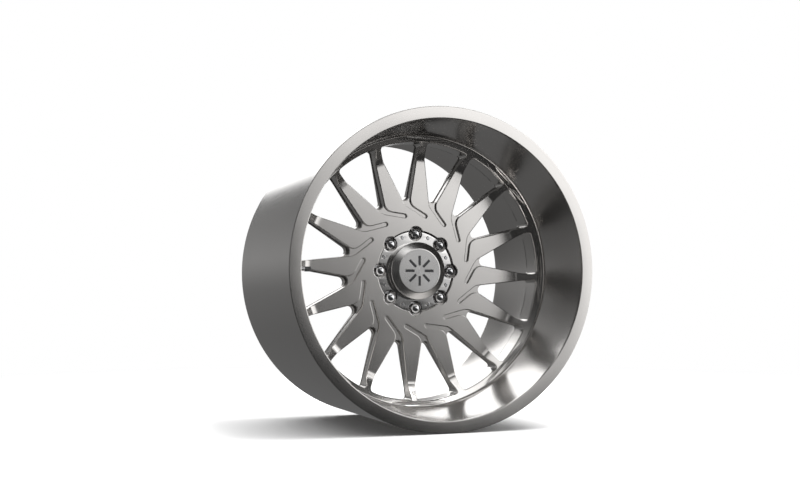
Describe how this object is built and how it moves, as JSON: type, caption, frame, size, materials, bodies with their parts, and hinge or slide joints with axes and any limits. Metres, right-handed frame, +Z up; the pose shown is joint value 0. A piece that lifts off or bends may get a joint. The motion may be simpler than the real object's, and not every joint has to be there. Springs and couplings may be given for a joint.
{
  "type": "forged wheel rim",
  "caption": "Wide deep-dish forged wheel with swept blades, hooked grooves, a screwed hub flange, a pull-out centre cap, domed lug nuts and a bolt-in valve.",
  "frame": {"origin": "middle of the wheel's box, on its spin axis, half way between the lip's face and the rear edge", "axes": "+Y along the spin axis towards the vehicle, so the dished front faces -Y; +Z up, with one lug nut at the top; +X to the right seen from the front"},
  "size_m": [0.6954, 0.446, 0.6954],
  "materials": {
    "barrel_metal": "brushed",
    "centre_metal": "satin machined",
    "weld_metal": "rippled",
    "chrome": "polished",
    "nut_chrome": "polished",
    "cap_metal": "polished",
    "cap_satin": "satin",
    "black_inlay": "gloss",
    "washer_steel": "plated",
    "rubber": "matt",
    "valve_metal": "plated",
    "valve_brass": "turned",
    "spring_steel": "drawn wire",
    "valve_cap_plastic": "moulded"
  },
  "bodies": {
    "rim": {"barrel": "barrel_metal", "wheel_centre": "centre_metal", "weld_bead": "weld_metal", "hub_flange": "chrome", "flange_gasket": "rubber", "flange_screws": "chrome", "valve_body": "valve_metal", "valve_grommet": "rubber", "valve_washer": "valve_metal", "valve_nut": "valve_metal", "valve_core": "valve_brass", "valve_spring": "spring_steel"},
    "cap": {"cap_body": "cap_metal", "cap_face": "cap_satin", "cap_mark": "black_inlay", "cap_o_ring": "rubber", "cap_snap_ring": "spring_steel"},
    "valve_cap": {"valve_cap": "valve_cap_plastic", "valve_cap_seal": "rubber"},
    "valve_pin": {"valve_pin": "valve_brass"},
    "lug_washer_1": {"lug_washer_1": "washer_steel"},
    "lug_nut_1": {"lug_nut_1": "nut_chrome"},
    "lug_washer_2": {"lug_washer_2": "washer_steel"},
    "lug_nut_2": {"lug_nut_2": "nut_chrome"},
    "lug_washer_3": {"lug_washer_3": "washer_steel"},
    "lug_nut_3": {"lug_nut_3": "nut_chrome"},
    "lug_washer_4": {"lug_washer_4": "washer_steel"},
    "lug_nut_4": {"lug_nut_4": "nut_chrome"},
    "lug_washer_5": {"lug_washer_5": "washer_steel"},
    "lug_nut_5": {"lug_nut_5": "nut_chrome"},
    "lug_washer_6": {"lug_washer_6": "washer_steel"},
    "lug_nut_6": {"lug_nut_6": "nut_chrome"},
    "lug_washer_7": {"lug_washer_7": "washer_steel"},
    "lug_nut_7": {"lug_nut_7": "nut_chrome"},
    "lug_washer_8": {"lug_washer_8": "washer_steel"},
    "lug_nut_8": {"lug_nut_8": "nut_chrome"}
  },
  "joints": [
    {"name": "cap_pull", "type": "slide", "parent": "rim", "child": "cap", "axis": [0, -1, 0], "range_m": [0, 0.08], "deforming": ["cap_snap_ring"]},
    {"name": "valve_cap_off", "type": "slide", "parent": "rim", "child": "valve_cap", "axis": [1, 0, 0], "range_m": [0, 0.02]},
    {"name": "valve_pin_press", "type": "slide", "parent": "rim", "child": "valve_pin", "axis": [-1, 0, 0], "range_m": [0, 0.001], "stiffness_N_per_m": 300, "springref_m": -0.0005},
    {"name": "lug_1_lift", "type": "slide", "parent": "rim", "child": "lug_washer_1", "axis": [0, -1, 0], "range_m": [0, 0.0181]},
    {"name": "lug_1_turn", "type": "hinge", "parent": "lug_washer_1", "child": "lug_nut_1", "pos_m": [0, 0, 0.085], "axis": [0, -1, 0], "range_deg": [0, 4320]},
    {"name": "lug_2_lift", "type": "slide", "parent": "rim", "child": "lug_washer_2", "axis": [0, -1, 0], "range_m": [0, 0.0181]},
    {"name": "lug_2_turn", "type": "hinge", "parent": "lug_washer_2", "child": "lug_nut_2", "pos_m": [0.0601, 0, 0.0601], "axis": [0, -1, 0], "range_deg": [0, 4320]},
    {"name": "lug_3_lift", "type": "slide", "parent": "rim", "child": "lug_washer_3", "axis": [0, -1, 0], "range_m": [0, 0.0181]},
    {"name": "lug_3_turn", "type": "hinge", "parent": "lug_washer_3", "child": "lug_nut_3", "pos_m": [0.085, 0, 0], "axis": [0, -1, 0], "range_deg": [0, 4320]},
    {"name": "lug_4_lift", "type": "slide", "parent": "rim", "child": "lug_washer_4", "axis": [0, -1, 0], "range_m": [0, 0.0181]},
    {"name": "lug_4_turn", "type": "hinge", "parent": "lug_washer_4", "child": "lug_nut_4", "pos_m": [0.0601, 0, -0.0601], "axis": [0, -1, 0], "range_deg": [0, 4320]},
    {"name": "lug_5_lift", "type": "slide", "parent": "rim", "child": "lug_washer_5", "axis": [0, -1, 0], "range_m": [0, 0.0181]},
    {"name": "lug_5_turn", "type": "hinge", "parent": "lug_washer_5", "child": "lug_nut_5", "pos_m": [0, 0, -0.085], "axis": [0, -1, 0], "range_deg": [0, 4320]},
    {"name": "lug_6_lift", "type": "slide", "parent": "rim", "child": "lug_washer_6", "axis": [0, -1, 0], "range_m": [0, 0.0181]},
    {"name": "lug_6_turn", "type": "hinge", "parent": "lug_washer_6", "child": "lug_nut_6", "pos_m": [-0.0601, 0, -0.0601], "axis": [0, -1, 0], "range_deg": [0, 4320]},
    {"name": "lug_7_lift", "type": "slide", "parent": "rim", "child": "lug_washer_7", "axis": [0, -1, 0], "range_m": [0, 0.0181]},
    {"name": "lug_7_turn", "type": "hinge", "parent": "lug_washer_7", "child": "lug_nut_7", "pos_m": [-0.085, 0, 0], "axis": [0, -1, 0], "range_deg": [0, 4320]},
    {"name": "lug_8_lift", "type": "slide", "parent": "rim", "child": "lug_washer_8", "axis": [0, -1, 0], "range_m": [0, 0.0181]},
    {"name": "lug_8_turn", "type": "hinge", "parent": "lug_washer_8", "child": "lug_nut_8", "pos_m": [-0.0601, 0, 0.0601], "axis": [0, -1, 0], "range_deg": [0, 4320]}
  ],
  "couplings": [
    {"joint": "lug_1_lift", "follows": "lug_1_turn", "m_per_rad": 0.00023873},
    {"joint": "lug_2_lift", "follows": "lug_2_turn", "m_per_rad": 0.00023873},
    {"joint": "lug_3_lift", "follows": "lug_3_turn", "m_per_rad": 0.00023873},
    {"joint": "lug_4_lift", "follows": "lug_4_turn", "m_per_rad": 0.00023873},
    {"joint": "lug_5_lift", "follows": "lug_5_turn", "m_per_rad": 0.00023873},
    {"joint": "lug_6_lift", "follows": "lug_6_turn", "m_per_rad": 0.00023873},
    {"joint": "lug_7_lift", "follows": "lug_7_turn", "m_per_rad": 0.00023873},
    {"joint": "lug_8_lift", "follows": "lug_8_turn", "m_per_rad": 0.00023873}
  ]
}
